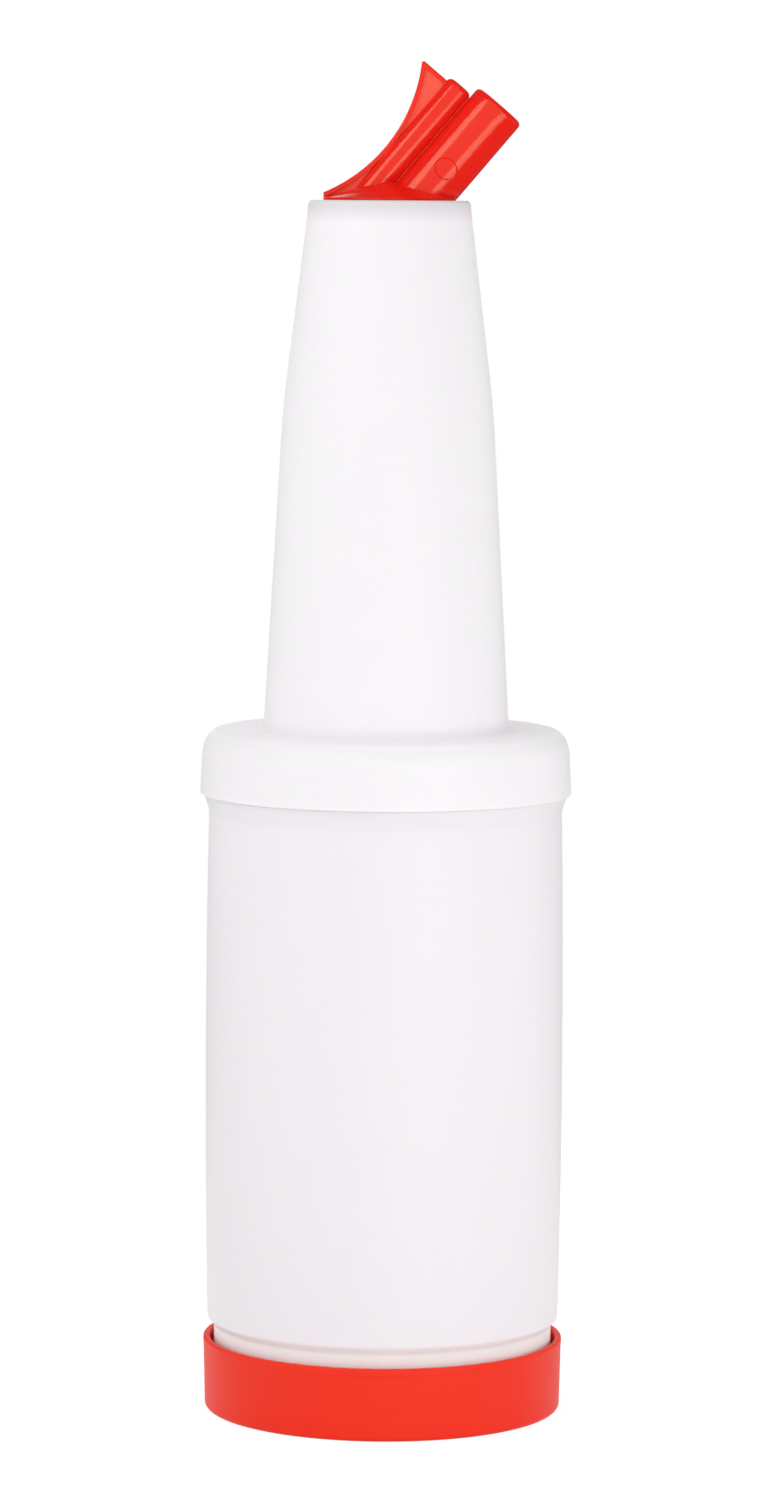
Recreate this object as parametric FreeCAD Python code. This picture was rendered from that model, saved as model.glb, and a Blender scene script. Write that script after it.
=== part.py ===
import FreeCAD, Part
import math
import os

# Pouring bottle of four pieces that come apart: an open container, a tapered neck whose
# collar goes over the container's mouth, a spout pressed into the neck, and a round lid
# stored under the container's foot. Millimetres, +Z up, origin at the centre of the lid's
# underside, the spout pouring towards +X.

# Container: a slightly barrel-shaped body, drawn in at its foot for the lid to go over
BODY_RADIUS = 43.8
BODY_BELLY = 0.6
BODY_HEIGHT = 124.1
WALL = 1.8
FOOT_STEP = 1.6
STEP_ROUND = 0.5
FOOT_CORNER = 3.0
BEAD_PROUD = 1.35
BEAD_HEIGHT = 4.0
BEAD_ROUND = 1.5
MOUTH_STEP = 0.65

# Lid: a shallow cup with a lip round its rim
LID_HEIGHT = 17.7
LID_WALL = 1.6
LID_FLOOR = 1.6
LID_CLEARANCE = 0.6
LID_REVEAL = 3.2
LID_DRAFT = 0.35
LID_CORNER = 1.3
LID_INNER_CORNER = 0.6
LIP_HEIGHT = 1.6
LIP_PROUD = 0.08
LIP_ROUND = 0.5

# Neck: a wide collar with a soft shoulder, then two cones up to a thick ring at the mouth
COLLAR_WALL = 2.2
COLLAR_CLEARANCE = 0.3
COLLAR_GAP = 0.3
COLLAR_HEIGHT = 15.4
COLLAR_DRAFT = 0.4
COLLAR_EDGE = 0.5
SHOULDER_WALL = 2.0
SHOULDER_ROUND = 3.55
SHOULDER_DROP = 5.9
SEAT_ROUND = 1.0
NECK_ROOT_RADIUS = 29.75
NECK_WAIST_RADIUS = 25.4
NECK_RING_RADIUS = 20.0
NECK_TOP_RADIUS = 19.45
NECK_LOWER_HEIGHT = 77.8
NECK_UPPER_HEIGHT = 44.3
RING_HEIGHT = 5.6
RING_THICKNESS = 3.0
RING_CORNER = 1.0
NECK_ROOT_ROUND = 1.6
WAIST_BLEND = 7.0
MOUTH_BORE = 13.2

# Spout: a hollow plug and a thin flange with a cone on it, a pour tube and an air tube side
# by side at a slant, and a fin behind them
PLUG_DEPTH = 9.0
PLUG_CLEARANCE = 0.2
PLUG_WALL = 1.5
PLUG_CHAMFER = 1.0
FLANGE_LIP = 3.0
FLANGE_EDGE = 0.6
CONE_RISE = 4.5
CEILING = 0.9
TUBE_ANGLE = 49.7
TUBE_INSET = 0.1
POUR_RADIUS = 6.8
POUR_WALL = 1.6
POUR_RUN = 29.95
AIR_RADIUS = 3.4
AIR_WALL = 1.75
AIR_SETBACK = 2.55
POUR_END_ROUND = 1.2
AIR_END_ROUND = 1.25
BORE_ROUND = 0.3
VALLEY_RADIUS = 0.8
FIN_REACH = 11.15
FIN_TOE = 1.85
FIN_HOLLOW = 5.5
FIN_RIM = 2.6
FIN_WEB = 1.6
FIN_RIM_WIDTH = 1.1
FIN_INSET = 0.1
FIN_TIP_ROUND = 0.5
PAD_RADIUS = 2.85
PAD_PROUD = 0.25
PAD_SETBACK = 19.65

# Pull of a cubic curve's middle poles that makes a square corner a quarter of an ellipse,
# and how much of the corner's height such a curve then reaches
PULL = 0.5523
REACH = 0.75 * PULL
SAME_POINT = 1e-6

# Heights, each piece standing on the one below
foot_z = LID_FLOOR
foot_top_z = LID_HEIGHT + LID_REVEAL
body_z = foot_top_z + FOOT_STEP
body_top_z = body_z + BODY_HEIGHT
bead_top_z = body_top_z + BEAD_HEIGHT
collar_z = bead_top_z + COLLAR_GAP
shoulder_z = collar_z + COLLAR_HEIGHT
seat_z = shoulder_z - SHOULDER_WALL
waist_z = shoulder_z + NECK_LOWER_HEIGHT
ring_z = waist_z + NECK_UPPER_HEIGHT
neck_top_z = ring_z + RING_HEIGHT

# Radii, each fit taken from the piece that it fits
body_end_radius = BODY_RADIUS - BODY_BELLY
foot_radius = body_end_radius - FOOT_STEP
lid_bore = foot_radius + LID_CLEARANCE
lid_radius = lid_bore + LID_WALL
bead_radius = body_end_radius + BEAD_PROUD
mouth_radius = body_end_radius - MOUTH_STEP
mouth_round = SEAT_ROUND + COLLAR_CLEARANCE
collar_bore = mouth_radius + COLLAR_CLEARANCE
collar_radius = collar_bore + COLLAR_WALL
plug_radius = MOUTH_BORE - PLUG_CLEARANCE
flange_radius = plug_radius + FLANGE_LIP

# The spout's slanted frame: the pour tube's axis leaves the flange at pour_foot_x, and the
# air tube's axis lies tube_spacing above it
slant = math.radians(TUBE_ANGLE)
pour_foot_x = flange_radius - TUBE_INSET - POUR_RADIUS / math.sin(slant)
tube_spacing = POUR_RADIUS + AIR_RADIUS
air_run = POUR_RUN - AIR_SETBACK
web_run = air_run - AIR_END_ROUND

# More than any piece reaches, for blocks that cut a shape off at a height
ROOM = 3 * (neck_top_z + POUR_RUN)

UP = FreeCAD.Vector(0, 0, 1)
ACROSS = FreeCAD.Vector(0, 1, 0)
ORIGIN = FreeCAD.Vector(0, 0, 0)


def flat(x, z):
    """Point in the XZ plane."""
    return FreeCAD.Vector(x, 0, z)


def line(start, end):
    return Part.LineSegment(start, end).toShape()


def arc(start, middle, end):
    return Part.Arc(start, middle, end).toShape()


def soft_corner(before, corner, after, reach_in, reach_out):
    """Start, end and edge of the curve that rounds one corner of an outline."""
    start = corner + (before - corner).normalize() * reach_in
    end = corner + (after - corner).normalize() * reach_out
    curve = Part.BezierCurve()
    curve.setPoles([start, start + (corner - start) * PULL, end + (corner - end) * PULL, end])
    return start, end, curve.toShape()


def spun(*corners):
    """Solid spun about Z from a closed outline of (radius, height) corners.

    A corner that is rounded also gives how far its rounding reaches along the edge before
    it and the edge after it, in one number where they are the same.
    """
    points = [flat(corner[0], corner[1]) for corner in corners]
    starts, ends, curves = [], [], []
    for i, corner in enumerate(corners):
        start = end = points[i]
        curve = None
        if len(corner) > 2:
            after = points[(i + 1) % len(points)]
            start, end, curve = soft_corner(points[i - 1], points[i], after, corner[2], corner[-1])
        starts.append(start)
        ends.append(end)
        curves.append(curve)
    edges = []
    for i, curve in enumerate(curves):
        if not starts[i].isEqual(ends[i - 1], SAME_POINT):
            edges.append(line(ends[i - 1], starts[i]))
        if curve:
            edges.append(curve)
    return Part.Face(Part.Wire(edges)).revolve(ORIGIN, UP, 360)


def container():
    """Body with its foot, the bead under the collar and the plain mouth inside the collar."""
    belly = BODY_BELLY / REACH
    middle_z = (body_z + body_top_z) / 2
    bow = BODY_HEIGHT / 2 - FOOT_STEP
    inner_step = FOOT_STEP / 2
    return spun(
        (0, foot_z),
        (foot_radius, foot_z, FOOT_CORNER),
        (foot_radius, foot_top_z, STEP_ROUND),
        (body_end_radius, body_z, STEP_ROUND),
        (body_end_radius + belly, middle_z, bow),
        (body_end_radius, body_top_z),
        (bead_radius, bead_top_z, BEAD_ROUND),
        (mouth_radius, bead_top_z),
        (mouth_radius, seat_z, mouth_round),
        (mouth_radius - WALL, seat_z),
        (mouth_radius - WALL, bead_top_z),
        (body_end_radius - WALL, body_top_z),
        (body_end_radius - WALL + belly, middle_z, bow),
        (body_end_radius - WALL, body_z + inner_step),
        (foot_radius - WALL, foot_top_z + inner_step),
        (foot_radius - WALL, foot_z + WALL, FOOT_CORNER),
        (0, foot_z + WALL),
    )


def cap():
    """Lid, drafted towards its floor, with a proud lip round the rim."""
    wall_radius = lid_radius - LIP_PROUD
    lip_z = LID_HEIGHT - LIP_HEIGHT
    return spun(
        (0, 0),
        (wall_radius - LID_DRAFT, 0, LID_CORNER),
        (wall_radius, lip_z - LIP_PROUD),
        (lid_radius, lip_z),
        (lid_radius, LID_HEIGHT, LIP_ROUND),
        (lid_bore, LID_HEIGHT, LIP_ROUND),
        (lid_bore, LID_FLOOR, LID_INNER_CORNER),
        (0, LID_FLOOR),
    )


def neck():
    """Collar, shoulder, two cones and the ring round the mouth."""
    shoulder_radius = collar_radius - COLLAR_DRAFT
    return spun(
        (collar_bore, collar_z),
        (collar_radius, collar_z, COLLAR_EDGE),
        (shoulder_radius, shoulder_z, SHOULDER_DROP, SHOULDER_ROUND),
        (NECK_ROOT_RADIUS, shoulder_z, NECK_ROOT_ROUND),
        (NECK_WAIST_RADIUS, waist_z, WAIST_BLEND),
        (NECK_RING_RADIUS, ring_z),
        (NECK_TOP_RADIUS, neck_top_z, RING_CORNER),
        (MOUTH_BORE, neck_top_z),
        (MOUTH_BORE, neck_top_z - RING_THICKNESS),
        (NECK_TOP_RADIUS - WALL, neck_top_z - RING_THICKNESS, RING_CORNER),
        (NECK_RING_RADIUS - WALL, ring_z - RING_THICKNESS),
        (NECK_WAIST_RADIUS - WALL, waist_z, WAIST_BLEND),
        (NECK_ROOT_RADIUS - WALL, seat_z, NECK_ROOT_ROUND),
        (collar_bore, seat_z, SEAT_ROUND),
    )


def slanted(shape):
    """Move a shape drawn along Z, with the air tube towards -X, into the spout's slant."""
    shape.rotate(ORIGIN, ACROSS, 90 - TUBE_ANGLE)
    shape.translate(flat(pour_foot_x, 0))
    return shape


def on_slant(run, rise):
    """Point at a distance along the pour tube's axis and a distance above that axis."""
    x = pour_foot_x + run * math.cos(slant) - rise * math.sin(slant)
    return flat(x, run * math.sin(slant) + rise * math.cos(slant))


def above(z):
    """Block that fills the space over a height, to keep the part of a shape that is there."""
    return Part.makeBox(2 * ROOM, 2 * ROOM, ROOM, FreeCAD.Vector(-ROOM, -ROOM, z))


def tube_section():
    """Outline across both tubes, with a smooth valley along each side between them."""
    pour_reach = POUR_RADIUS + VALLEY_RADIUS
    air_reach = AIR_RADIUS + VALLEY_RADIUS
    valley_x = (tube_spacing ** 2 + pour_reach ** 2 - air_reach ** 2) / (2 * tube_spacing)
    valley_y = math.sqrt(pour_reach ** 2 - valley_x ** 2)
    air = FreeCAD.Vector(-tube_spacing, 0, 0)
    valleys, pour_points, air_points = [], [], []
    for side in (1, -1):
        valley = FreeCAD.Vector(-valley_x, side * valley_y, 0)
        bottom = FreeCAD.Vector(-valley_x, side * (valley_y - VALLEY_RADIUS), 0)
        pour_points.append(valley * (POUR_RADIUS / pour_reach))
        air_points.append(air + (valley - air) * (AIR_RADIUS / air_reach))
        valleys.append(arc(pour_points[-1], bottom, air_points[-1]))
    pour_side = arc(pour_points[1], FreeCAD.Vector(POUR_RADIUS, 0, 0), pour_points[0])
    air_side = arc(air_points[0], air - FreeCAD.Vector(AIR_RADIUS, 0, 0), air_points[1])
    return Part.Face(Part.Wire([pour_side, valleys[0], air_side, valleys[1]]))


def tube_pair():
    """Both tubes from the flange's underside up to the top of the web between them."""
    section = tube_section()
    section.translate(UP * -tube_spacing)
    tubes = slanted(section.extrude(UP * (web_run + tube_spacing)))
    return tubes.common(above(0))


def tube_end(radius, run, x, round_in, round_up):
    """End of a tube from the top of the web up, its edge rounded inwards and upwards."""
    end = spun((0, web_run), (radius, web_run), (radius, run, round_up, round_in), (0, run))
    end.translate(flat(x, 0))
    return slanted(end)


def bore(radius, run, x):
    """Hole down a tube, eased at its mouth, that stops above the flange."""
    mouth_radius = radius + BORE_ROUND
    past_end = run + BORE_ROUND
    hole = spun(
        (0, -tube_spacing),
        (radius, -tube_spacing),
        (radius, run - BORE_ROUND),
        (mouth_radius, run),
        (mouth_radius, past_end),
        (0, past_end),
    )
    hole.translate(flat(x, 0))
    return slanted(hole).common(above(CEILING))


def fin_outline(bottom_z):
    """Face of the fin, with a hollow back edge from the toe up to the tip."""
    toe = flat(FIN_INSET - flange_radius, FIN_TOE)
    tip = on_slant(web_run, tube_spacing + FIN_REACH)
    chord = tip - toe
    middle = (toe + tip) * 0.5 + flat(chord.z, -chord.x).normalize() * FIN_HOLLOW
    top = on_slant(web_run, tube_spacing)
    foot = flat(top.x - (top.z - bottom_z) / math.tan(slant), bottom_z)
    corner = flat(toe.x, bottom_z)
    edges = [arc(toe, middle, tip), line(tip, top), line(top, foot), line(foot, corner), line(corner, toe)]
    return Part.Face(Part.Wire(edges))


def lowest_point(edge):
    return edge.BoundBox.ZMin


def fin():
    """Upright fin, thick along its back and top edges and thin between."""
    plate = fin_outline(0)
    plate.translate(ACROSS * (-FIN_RIM / 2))
    plate = plate.extrude(ACROSS * FIN_RIM)
    tip = max(plate.Edges, key=lowest_point)
    plate = plate.makeFillet(FIN_TIP_ROUND, [tip])
    panel = fin_outline(-FIN_RIM_WIDTH).makeOffset2D(-FIN_RIM_WIDTH)
    for side in (1, -1):
        pocket = panel.extrude(ACROSS * side * FIN_RIM)
        pocket.translate(ACROSS * side * FIN_WEB / 2)
        plate = plate.cut(pocket)
    return plate


def pad():
    """Low round mark on the pour tube's side, following the tube."""
    centre = on_slant(POUR_RUN - PAD_SETBACK, 0)
    disc = Part.makeCylinder(PAD_RADIUS, POUR_RADIUS + 2 * PAD_PROUD, centre, ACROSS * -1)
    sleeve = Part.makeCylinder(POUR_RADIUS + PAD_PROUD, POUR_RUN, ORIGIN, UP)
    return disc.common(slanted(sleeve))


def spout():
    """Plug, flange and cone spun in one, with the tubes, the fin and the pad on top."""
    cone_z = FLANGE_EDGE + CONE_RISE
    past_plug = -PLUG_DEPTH - PLUG_WALL
    base = spun(
        (0, -PLUG_DEPTH),
        (plug_radius, -PLUG_DEPTH, PLUG_CHAMFER),
        (plug_radius, 0),
        (flange_radius, 0),
        (flange_radius, FLANGE_EDGE),
        (0, cone_z),
    )
    hollow = spun(
        (0, past_plug),
        (plug_radius - PLUG_WALL, past_plug),
        (plug_radius - PLUG_WALL, CEILING),
        (0, cone_z - PLUG_WALL),
    )
    pour_end = tube_end(POUR_RADIUS, POUR_RUN, 0, POUR_END_ROUND, POUR_END_ROUND)
    air_end = tube_end(AIR_RADIUS, air_run, -tube_spacing, AIR_WALL - BORE_ROUND, AIR_END_ROUND)
    body = base.fuse([tube_pair(), pour_end, air_end, fin(), pad()])
    pour_bore = bore(POUR_RADIUS - POUR_WALL, POUR_RUN, 0)
    air_bore = bore(AIR_RADIUS - AIR_WALL, air_run, -tube_spacing)
    body = body.cut([hollow, pour_bore, air_bore])
    body.translate(UP * neck_top_z)
    return body


os.makedirs("parts", exist_ok=True)
for piece in (container, cap, neck, spout):
    solid = Part.makeCompound(piece().Solids)
    solid.exportStep("parts/" + piece.__name__ + ".step")
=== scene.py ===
import math

import bmesh
import bpy
from mathutils import Matrix, Vector


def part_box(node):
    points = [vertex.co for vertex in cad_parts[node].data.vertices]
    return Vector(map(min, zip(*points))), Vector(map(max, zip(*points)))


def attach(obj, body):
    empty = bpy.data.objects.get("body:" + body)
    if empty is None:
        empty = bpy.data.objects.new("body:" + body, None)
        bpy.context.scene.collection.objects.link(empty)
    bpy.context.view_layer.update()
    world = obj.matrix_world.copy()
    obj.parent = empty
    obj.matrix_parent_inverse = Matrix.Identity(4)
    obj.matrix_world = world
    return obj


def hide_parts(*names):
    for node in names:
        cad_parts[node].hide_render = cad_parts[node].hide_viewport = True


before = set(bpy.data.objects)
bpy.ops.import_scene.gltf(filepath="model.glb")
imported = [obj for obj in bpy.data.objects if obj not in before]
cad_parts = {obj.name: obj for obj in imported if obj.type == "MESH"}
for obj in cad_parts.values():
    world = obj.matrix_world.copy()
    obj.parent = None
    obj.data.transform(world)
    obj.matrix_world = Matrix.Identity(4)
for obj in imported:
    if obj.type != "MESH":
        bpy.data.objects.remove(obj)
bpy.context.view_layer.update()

bl_info = {
    "name": "Pouring bottle",
    "version": (1, 0, 0),
    "blender": (4, 5, 0),
    "location": "3D View > Sidebar > Bottle",
    "description": "Models a bar pouring bottle: container, lid, neck and slanted spout",
    "category": "Object",
}

MM = 0.001
CONTAINER_LOW, CONTAINER_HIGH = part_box("container")
LID_LOW, LID_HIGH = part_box("cap")
NECK_LOW, NECK_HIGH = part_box("neck")
SPOUT_LOW, SPOUT_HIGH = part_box("spout")

ORIGIN = Vector((0, 0, 0))
UP = Vector((0, 0, 1))
ACROSS = Vector((0, 1, 0))

# Flat strips round a turned piece, in a rounded corner and in a long bow
TURN_STEPS = 160
ROUND_STEPS = 8
BOW_STEPS = 30
# A rounding that reaches further than this along an edge is a bow, not a corner
LONG_REACH = 5 * MM
# Pull of a cubic curve's middle points that makes a square corner a quarter of an ellipse,
# and how much of the corner's height such a curve then reaches
PULL = 0.5523
REACH = 0.75 * PULL
WELD = 0.001 * MM
# Faces that meet at more than this keep a crisp edge
CRISP = math.radians(35)

# Strips round the pour tube and the air tube outside, along the part of each inside a web,
# along a valley, round a bore, round the sleeve that shapes the mark and round the mark
POUR_STEPS = 72
AIR_STEPS = 40
WEB_STEPS = 24
VALLEY_STEPS = 16
BORE_STEPS = 96
SLEEVE_STEPS = 192
MARK_STEPS = 64
# The disc at a tube's end has more corners than this, and the faces round it have four
MANY_CORNERS = 50
# Strips along the fin's hollow back, and across the rounding of its rim
FIN_STEPS = 24
RIM_STEPS = 4
# The fin ends this far short of the webs, so that no two faces lie in one plane
FIN_SHORT = 20 * WELD
# The fin starts a third and the tubes start half of the flange's edge above the neck's top
FIN_SINK = 3
TUBE_SINK = 2
# Where the fin's outline is drawn in, its tip keeps at least a fifth of its rounding
TIP_SHRINK = 5
# How near to the panel's depth, and how square to the fin, a face of the panel is
PANEL_NEAR = 10 * WELD
PANEL_SQUARE = 0.99

# Polyethylene: clouds of uneven thickness, drawn out upwards, slow waves and fine grain
CLOUD_SIZE = 38 * MM
CLOUD_STRETCH = 0.35
WAVE_SIZE = 22 * MM
WAVE_DEPTH = 0.5 * MM
GRAIN_SIZE = 0.9 * MM
GRAIN_DEPTH = 0.02 * MM
# Polypropylene: streaks of flow round the piece, and the depth of the mould's turned lines
FLOW_SIZE = 9 * MM
LINE_DEPTH = 0.03 * MM

# Upright softboxes and fills: the two angles from the front that each stands between, in
# degrees, the heights of its lower and upper edge in metres, and the setting of its brightness
SOFTBOXES = (
    ("left_softbox", -71, -40, 0.54, 0.86, "left_light"),
    ("right_softbox", 11, 50, 0.03, 0.20, "right_light"),
    ("left_fill", -118, -50, 0, 0.20, "left_fill"),
    ("right_fill", 80, 112, 0, 0.20, "right_fill"),
)
# White parts of the room that gloss shows, one in front and one behind: the direction of the
# middle of each, and the angles from it where the white begins to fade and ends, in degrees
WHITE_PATCHES = (
    ((-0.2, -0.965, 0.17), 40, 50),
    ((0, 0.985, 0.17), 12, 20),
)
# The floor's own colour, and how strong a glow, in what share, keeps it white where it is seen
FLOOR_WHITE = "F2F2F2"
FLOOR_GLOW = 1.12
FLOOR_GLOW_SHARE = 0.8


# ---- Drawing and turning, as by hand in edit mode ----

def flat(x, z):
    """Point in the XZ plane."""
    return Vector((x, 0, z))


def rounded(*corners):
    """Points of a closed outline in the XZ plane from (radius, height) corners.

    A corner that is rounded also gives how far its rounding reaches along the edge before
    it and the edge after it, in one number where they are the same.
    """
    points = []
    for i, corner in enumerate(corners):
        here = flat(corner[0], corner[1])
        if len(corner) == 2:
            points.append(here)
            continue
        before = flat(*corners[i - 1][:2])
        after = flat(*corners[(i + 1) % len(corners)][:2])
        start = here + (before - here).normalized() * corner[2]
        end = here + (after - here).normalized() * corner[-1]
        steps = BOW_STEPS if corner[2] > LONG_REACH else ROUND_STEPS
        for step in range(steps + 1):
            points.append(curve_point(start, here, end, step / steps))
    return [p for i, p in enumerate(points) if (p - points[i - 1]).length > WELD]


def curve_point(start, corner, end, t):
    """Point at t on the cubic curve that rounds a corner."""
    first = start + (corner - start) * PULL
    second = end + (corner - end) * PULL
    return (
        start * (1 - t) ** 3
        + first * 3 * t * (1 - t) ** 2
        + second * 3 * t ** 2 * (1 - t)
        + end * t ** 3
    )


def circle_points(centre, radius, from_angle, to_angle, steps):
    """Points of an arc in the XY plane, both ends included."""
    points = []
    for step in range(steps + 1):
        angle = from_angle + (to_angle - from_angle) * step / steps
        points.append(centre + Vector((math.cos(angle), math.sin(angle), 0)) * radius)
    return points


def pick(piece):
    """Make a piece the active object and the only one that is selected."""
    bpy.ops.object.select_all(action="DESELECT")
    piece.select_set(True)
    bpy.context.view_layer.objects.active = piece


def edit_all():
    """Go into edit mode with all of the active object's mesh selected."""
    bpy.ops.object.mode_set(mode="EDIT")
    bpy.ops.mesh.select_all(action="SELECT")


def apply_place():
    """Put the selected object at the origin, unturned and unscaled, with its place in its mesh."""
    bpy.ops.object.transform_apply(location=True, rotation=True, scale=True)


def draw(name, points):
    """New object whose mesh is a line through the points, extruded from one to the next."""
    bpy.ops.object.select_all(action="DESELECT")
    bpy.ops.mesh.primitive_plane_add(size=MM, location=points[0])
    piece = bpy.context.object
    piece.name = piece.data.name = name
    bpy.ops.object.mode_set(mode="EDIT")
    bpy.ops.mesh.select_mode(type="VERT")
    bpy.ops.mesh.select_all(action="SELECT")
    bpy.ops.mesh.merge(type="CENTER")
    for before, after in zip(points, points[1:]):
        bpy.ops.mesh.extrude_vertices_move(TRANSFORM_OT_translate={"value": after - before})
    bpy.ops.mesh.select_all(action="SELECT")
    return piece


def filled(name, points):
    """Object with one flat face inside a closed line through the points."""
    piece = draw(name, points + points[:1])
    bpy.ops.mesh.remove_doubles(threshold=WELD)
    bpy.ops.mesh.select_all(action="SELECT")
    bpy.ops.mesh.edge_face_add()
    bpy.ops.object.mode_set(mode="OBJECT")
    return piece


def joined(name, pieces):
    """One object of several, with the seams between them closed."""
    bpy.ops.object.select_all(action="DESELECT")
    for piece in pieces:
        piece.select_set(True)
    bpy.context.view_layer.objects.active = pieces[0]
    bpy.ops.object.join()
    whole = bpy.context.object
    whole.name = whole.data.name = name
    apply_place()
    edit_all()
    bpy.ops.mesh.remove_doubles(threshold=WELD)
    bpy.ops.object.mode_set(mode="OBJECT")
    return whole


def extrude(offset):
    """In edit mode, extrude what is selected by an offset."""
    bpy.ops.mesh.extrude_region_move(TRANSFORM_OT_translate={"value": offset})


def select_where(piece, kind, wanted):
    """In edit mode, select only the faces or edges that pass a test, and return how many."""
    bpy.ops.mesh.select_mode(type=kind)
    bpy.ops.mesh.select_all(action="DESELECT")
    mesh = bmesh.from_edit_mesh(piece.data)
    elements = mesh.faces if kind == "FACE" else mesh.edges
    for element in elements:
        element.select_set(bool(wanted(element)))
    mesh.select_flush_mode()
    bmesh.update_edit_mesh(piece.data)
    return sum(element.select for element in elements)


def round_over(centre, radius, reach_in, reach_up):
    """Raise the selected disc along Z in small steps that round its rim inwards."""
    low = flat(radius, 0)
    corner = flat(radius, reach_up)
    high = flat(radius - reach_in, reach_up)
    before = low
    for step in range(1, ROUND_STEPS + 1):
        here = curve_point(low, corner, high, step / ROUND_STEPS)
        extrude(UP * (here.z - before.z))
        shrink = here.x / before.x
        bpy.ops.transform.resize(value=(shrink, shrink, 1), center_override=centre)
        before = here


def combine(piece, tool, operation):
    """Apply a Boolean modifier with a tool, and remove the tool."""
    pick(piece)
    change = piece.modifiers.new("shape", "BOOLEAN")
    change.operation = operation
    change.solver = "MANIFOLD"
    change.object = tool
    bpy.ops.object.modifier_apply(modifier=change.name)
    bpy.data.objects.remove(tool)


def settle(piece):
    """In edit mode, close seams and point faces outwards, then leave it and apply the place."""
    bpy.ops.mesh.select_all(action="SELECT")
    bpy.ops.mesh.remove_doubles(threshold=WELD)
    bpy.ops.mesh.normals_make_consistent(inside=False)
    bpy.ops.object.mode_set(mode="OBJECT")
    apply_place()
    return piece


def turned(name, points, steps=TURN_STEPS):
    """Solid turned about the Z axis from an outline."""
    closed = points if points[0].x < WELD else points + points[:1]
    piece = draw(name, closed)
    bpy.ops.mesh.spin(steps=steps, angle=math.tau, center=ORIGIN, axis=UP)
    return settle(piece)


def finish_piece(piece, material, node_name):
    """Shade the piece, give it its material and let it stand for its CAD node."""
    pick(piece)
    bpy.ops.object.shade_smooth_by_angle(angle=CRISP)
    piece.data.materials.clear()
    piece.data.materials.append(material)
    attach(piece, "root")
    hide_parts(node_name)


# ---- Materials ----

def linear(code):
    """Linear RGBA of an sRGB hex colour."""
    values = [int(code[i:i + 2], 16) / 255 for i in (0, 2, 4)]
    return [v / 12.92 if v <= 0.04045 else ((v + 0.055) / 1.055) ** 2.4 for v in values] + [1]


def add_node(tree, kind, settings, inputs):
    """Node with its settings, and each input either linked to a socket or set to a value."""
    made = tree.nodes.new(kind)
    for name, value in settings.items():
        setattr(made, name, value)
    for name, value in inputs.items():
        if isinstance(value, bpy.types.NodeSocket):
            tree.links.new(value, made.inputs[name])
        else:
            made.inputs[name].default_value = value
    return made


def new_tree(material_name):
    """New material and its empty node tree."""
    material = bpy.data.materials.new(material_name)
    material.use_nodes = True
    material.node_tree.nodes.clear()
    return material, material.node_tree


def blend(tree, factor, low, high):
    """Colour between two others, the sockets 6 and 7 of a mix of colours, by a factor."""
    return add_node(tree, "ShaderNodeMix", {"data_type": "RGBA"}, {
        "Factor": factor, 6: low, 7: high}).outputs[2]


def milky_polyethylene(name, colour, thin_colour, painted_shading_colour, painted_shading_full_z, painted_shading_start_z):
    """Natural high-density polyethylene, blow-moulded: milky and satin, light sinks into it.

    The wall is a little uneven in thickness, which shows as broad faint clouds, and its
    surface is faintly wavy, which breaks the edges of reflections. Between two heights its
    colour moves towards a second colour, which is painted shading: painted light on the
    container's foot and painted shade at the neck's mouth.
    """
    material, tree = new_tree(name)
    place = add_node(tree, "ShaderNodeTexCoord", {}, {}).outputs["Object"]
    drawn = add_node(tree, "ShaderNodeMapping", {}, {
        "Vector": place, "Scale": (1, 1, CLOUD_STRETCH)})
    clouds = add_node(tree, "ShaderNodeTexNoise", {}, {
        "Vector": drawn.outputs["Vector"], "Scale": 1 / CLOUD_SIZE, "Detail": 2.0,
        "Roughness": 0.45})
    tint = blend(tree, clouds.outputs["Fac"], linear(thin_colour), linear(colour))
    # Painted shading: with height the colour moves towards a lighter or darker second colour
    height = add_node(tree, "ShaderNodeSeparateXYZ", {}, {"Vector": place}).outputs["Z"]
    painted_shading_weight = add_node(tree, "ShaderNodeMapRange", {}, {
        "Value": height, "From Min": painted_shading_start_z, "From Max": painted_shading_full_z})
    shade = blend(tree, painted_shading_weight.outputs["Result"], tint, linear(painted_shading_colour))
    waves = add_node(tree, "ShaderNodeTexNoise", {}, {
        "Vector": drawn.outputs["Vector"], "Scale": 1 / WAVE_SIZE, "Detail": 1.0})
    wavy = add_node(tree, "ShaderNodeBump", {}, {
        "Height": waves.outputs["Fac"], "Strength": 0.35, "Distance": WAVE_DEPTH})
    grain = add_node(tree, "ShaderNodeTexNoise", {}, {
        "Vector": place, "Scale": 1 / GRAIN_SIZE, "Detail": 2.0})
    skin = add_node(tree, "ShaderNodeBump", {}, {
        "Height": grain.outputs["Fac"], "Strength": 0.12, "Distance": GRAIN_DEPTH,
        "Normal": wavy.outputs["Normal"]})
    satin = add_node(tree, "ShaderNodeMapRange", {}, {
        "Value": clouds.outputs["Fac"], "To Min": 0.45, "To Max": 0.55})
    plastic = add_node(tree, "ShaderNodeBsdfPrincipled", {"subsurface_method": "RANDOM_WALK"}, {
        "Base Color": shade, "Roughness": satin.outputs["Result"], "IOR": 1.54,
        "Subsurface Weight": 1.0, "Subsurface Radius": (1.0, 0.9, 1.0),
        "Subsurface Scale": 1.2 * MM, "Normal": skin.outputs["Normal"]})
    add_node(tree, "ShaderNodeOutputMaterial", {}, {"Surface": plastic.outputs["BSDF"]})
    return material


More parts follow.
